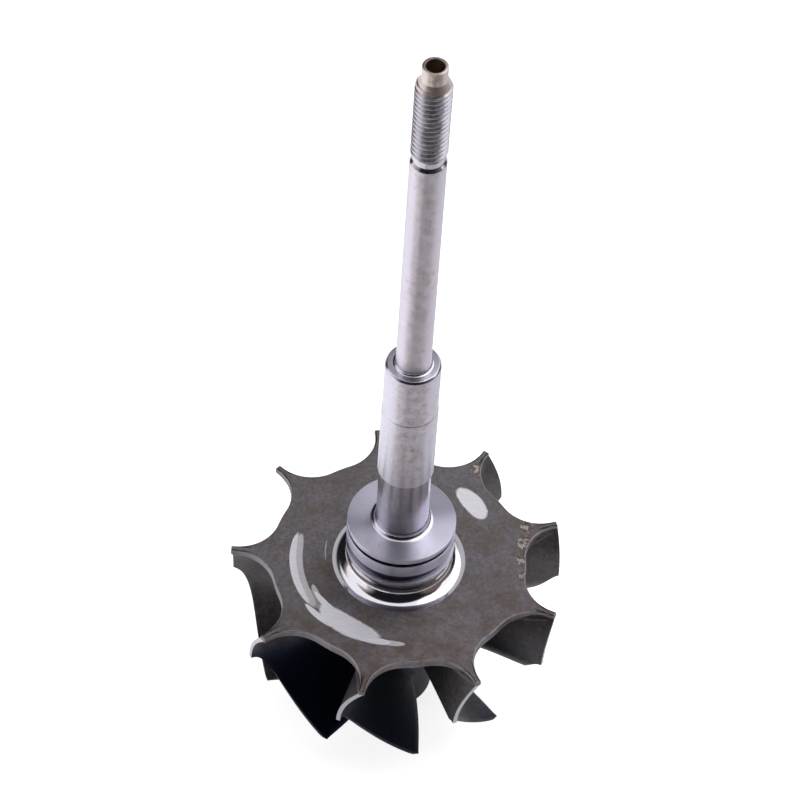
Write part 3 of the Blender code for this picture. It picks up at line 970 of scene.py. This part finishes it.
# The threaded end, M5 x 0.8, that takes the compressor nut. The thread is rolled, and it runs
# out on a cone at each end: below into the groove, above into the plain tip with its centre hole.
thread_pitch = 0.0008
crest_radius = 0.0025
thread_start_z = 0.1162
thread_end_z = 0.1298
crest_share = 0.14
flank_share = 0.34
root_start_share = 0.48
root_end_share = 0.66
lead_in_slope = 1.3
lead_out_z = 0.1285
lead_out_slope = 0.59
thread_sides = 64
rows_per_turn = 12
tip_radius = 0.00173
hole_zone_radius = 0.00128
hole_zone_z = 0.1287
tip_zone_z = 0.1284
tip_profile = [
    (tip_radius, thread_end_z), (tip_radius, 0.13175), (0.00168, 0.13186), (0.00160, 0.1319),
    (0.00131, 0.1319), (0.00125, 0.13184), (0.00123, 0.12918), (0.0002, 0.1288),
]


def thread_radius(turns_up):
    """Radius of the thread's form at a height counted in turns: crest, flank, root and flank."""
    share = turns_up % 1.0
    depth = crest_radius - runout_radius
    if share < crest_share:
        return crest_radius
    if share < root_start_share:
        return crest_radius - depth * (share - crest_share) / flank_share
    if share < root_end_share:
        return runout_radius
    return runout_radius + depth * (share - root_end_share) / flank_share


def model_thread():
    """A grid wound into the thread's helix and closed, with the tip and its hole drawn out of it."""
    turns = math.ceil((thread_end_z - thread_start_z) / thread_pitch) + 2
    rows = turns * rows_per_turn
    bpy.ops.object.select_all(action="DESELECT")
    bpy.ops.mesh.primitive_grid_add(x_subdivisions=thread_sides, y_subdivisions=rows, size=2.0)
    thread = bpy.context.object
    thread.name = "threaded_end"
    for vert in thread.data.vertices:
        round_share = 0.5 + 0.5 * vert.co.x
        turns_up = (0.5 + 0.5 * vert.co.y) * turns
        z = thread_start_z + (turns_up + round_share - 1.0) * thread_pitch
        z = min(thread_end_z, max(thread_start_z, z))
        lead_in = runout_radius + lead_in_slope * (z - thread_start_z)
        lead_out = crest_radius - lead_out_slope * (z - lead_out_z)
        radius = max(tip_radius, min(thread_radius(turns_up), lead_in, lead_out))
        if z >= thread_end_z:
            radius = tip_radius
        angle = math.tau * round_share
        vert.co = (radius * math.cos(angle), radius * math.sin(angle), z)
    bpy.ops.object.mode_set(mode="EDIT")
    bpy.ops.mesh.select_all(action="SELECT")
    bpy.ops.mesh.remove_doubles(threshold=0.000001)
    bpy.ops.mesh.dissolve_degenerate(threshold=0.000001)
    bpy.ops.mesh.select_mode(type="EDGE")
    bpy.ops.mesh.select_all(action="DESELECT")
    shell = bmesh.from_edit_mesh(thread.data)
    for edge in shell.edges:
        at_top = all(abs(vert.co.z - thread_end_z) < 1e-7 for vert in edge.verts)
        edge.select = edge.is_boundary and at_top
    bmesh.update_edit_mesh(thread.data)
    draw_out(tip_profile)
    bpy.ops.mesh.edge_face_add()
    bpy.ops.mesh.select_all(action="DESELECT")
    bpy.ops.mesh.select_non_manifold()
    bpy.ops.mesh.edge_face_add()
    finish_shell()
    bpy.ops.object.shade_smooth_by_angle(angle=math.radians(35.0))
    return thread


threaded_end = model_thread()
thread_steel = make_turned_steel(
    "rolled_thread_steel", colour=(0.68, 0.66, 0.74), stain=(0.22, 0.185, 0.175),
    stain_amount=0.85, roughness=0.32, grooved=0.6, mark_depth=0.00002,
)
hole_steel = make_turned_steel(
    "oxidised_hole_steel", colour=(0.33, 0.25, 0.18), stain=(0.07, 0.05, 0.03),
    stain_amount=0.8, roughness=0.35, grooved=0.3,
)
tip_steel = make_turned_steel(
    "stained_tip_steel", colour=(0.62, 0.56, 0.55), stain=(0.36, 0.28, 0.22),
    stain_amount=0.9, roughness=0.28, grooved=0.4,
)
add_materials(threaded_end, thread_steel, hole_steel, tip_steel)
for face in threaded_end.data.polygons:
    if face.center.to_2d().length < hole_zone_radius and face.center.z > hole_zone_z:
        face.material_index = 1
    elif face.center.z > tip_zone_z:
        face.material_index = 2
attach(threaded_end, "root")
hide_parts("shaft")


# The studio: a pale floor under the nose, a surround that is white to the camera and has light and
# dark zones for the metal to mirror, and two soft lights. The camera looks down from in front, at
# the angle of the photograph.
floor_white = (0.9, 0.9, 0.92)
floor_grey = (0.72, 0.72, 0.75)
surround_white = (0.97, 0.975, 1.0)
room_dark = (0.010, 0.009, 0.011)
room_beige = (0.40, 0.365, 0.37)
room_brown = (0.15, 0.12, 0.11)

# Zones of the surround: X, Y and Z bounds of their direction, soft edge, and brightness.
bright_zones = [
    ((-0.75, 0.75), (-0.27, 0.4), (0.72, 2.0), 0.05, 1.0),
    ((-0.88, -0.3), (-0.28, 0.12), (0.52, 2.0), 0.05, 1.0),
    ((-0.25, 2.0), (0.4, 2.0), (0.68, 2.0), 0.1, 0.5),
    ((0.15, 0.8), (0.5, 2.0), (0.42, 2.0), 0.08, 0.8),
    ((-0.3, 0.3), (0.7, 2.0), (-1.0, 0.3), 0.1, 0.8),
]
beige_zone = ((-2.0, -0.55), (-2.0, 0.2), (-2.0, 2.0), 0.1, 1.0)


def make_floor_paint():
    """White paint that glows. The metal mirrors it brighter at the left and greyer in front."""
    material, tree, shader = new_material("floor_paint", floor_white, 0.0, 0.6)
    to_camera = tree.nodes.new("ShaderNodeLightPath").outputs["Is Camera Ray"]
    split = add_split(tree, add_place(tree))
    leftward = add_ramp(tree, add_math(tree, "MULTIPLY", split["X"], -1.0), 0.01, 0.05)
    forward = add_ramp(tree, add_math(tree, "MULTIPLY", split["Y"], -1.0), 0.03, 0.08)
    greyed = add_math(tree, "SUBTRACT", forward, to_camera, clamp=True)
    tree.links.new(add_mix(tree, greyed, floor_white, floor_grey), shader.inputs["Base Color"])
    glow = add_math(tree, "MULTIPLY_ADD", add_math(tree, "MAXIMUM", to_camera, leftward), 0.55, 0.25)
    tree.links.new(glow, shader.inputs["Emission Strength"])
    shader.inputs["Emission Color"].default_value = (1.0, 1.0, 1.0, 1.0)
    return material


def add_zone(tree, direction, x_range, y_range, z_range, edge, brightness):
    """Patch of the surround between the given bounds of its direction, with soft edges."""
    patch = brightness
    for axis, (low, high) in zip("XYZ", (x_range, y_range, z_range)):
        above = add_ramp(tree, direction[axis], low - edge, low + edge)
        beyond = add_ramp(tree, direction[axis], high - edge, high + edge)
        share = add_math(tree, "MULTIPLY", above, add_math(tree, "SUBTRACT", 1.0, beyond))
        patch = add_math(tree, "MULTIPLY", share, patch)
    return patch


def make_surround():
    """A dark room with bright zones, beige at the left and brown at the right, white to the camera."""
    world = bpy.data.worlds.new("studio")
    world.use_nodes = True
    tree = world.node_tree
    direction = add_split(tree, tree.nodes.new("ShaderNodeTexCoord").outputs["Generated"])
    bright = tree.nodes.new("ShaderNodeLightPath").outputs["Is Camera Ray"]
    for zone in bright_zones:
        bright = add_math(tree, "MAXIMUM", bright, add_zone(tree, direction, *zone))
    room = add_mix(tree, add_zone(tree, direction, *beige_zone), room_dark, room_beige)
    room = add_mix(tree, add_ramp(tree, direction["X"], 0.72, 0.9), room, room_brown)
    backdrop = tree.nodes["Background"]
    tree.links.new(add_mix(tree, bright, room, surround_white), backdrop.inputs["Color"])
    backdrop.inputs["Strength"].default_value = 1.1
    return world


def add_softbox(name, place, aim, size, power):
    """Square soft light at a place, turned to face what it lights."""
    lamp = bpy.data.lights.new(name, "AREA")
    lamp.shape = "SQUARE"
    lamp.size = size
    lamp.energy = power
    holder = bpy.data.objects.new(name, lamp)
    bpy.context.collection.objects.link(holder)
    holder.location = place
    holder.rotation_euler = (Vector(aim) - Vector(place)).to_track_quat("-Z", "Y").to_euler()


bpy.ops.object.select_all(action="DESELECT")
bpy.ops.mesh.primitive_plane_add(size=6.0, location=(0, 0, -0.00002))
floor = bpy.context.object
floor.name = "floor"
add_materials(floor, make_floor_paint())

bpy.context.scene.world = make_surround()
add_softbox("key_light", (0.45, 0.32, 0.66), (0, 0, 0.03), 0.85, 2.7)
add_softbox("side_light", (-0.5, -0.17, 0.10), (0, 0, 0.08), 0.5, 0.52)

camera_data = bpy.data.cameras.new("camera")
camera_data.lens = 153.178
camera_data.sensor_width = 36.0
camera_data.clip_start = 0.01
camera = bpy.data.objects.new("camera", camera_data)
camera.location = (0.0490452, -0.3050289, 0.4318091)
camera.rotation_euler = [math.radians(turn) for turn in (40.162164, -2.618069, 12.510841)]
bpy.context.collection.objects.link(camera)
bpy.context.scene.camera = camera
bpy.context.scene.view_settings.view_transform = "Standard"
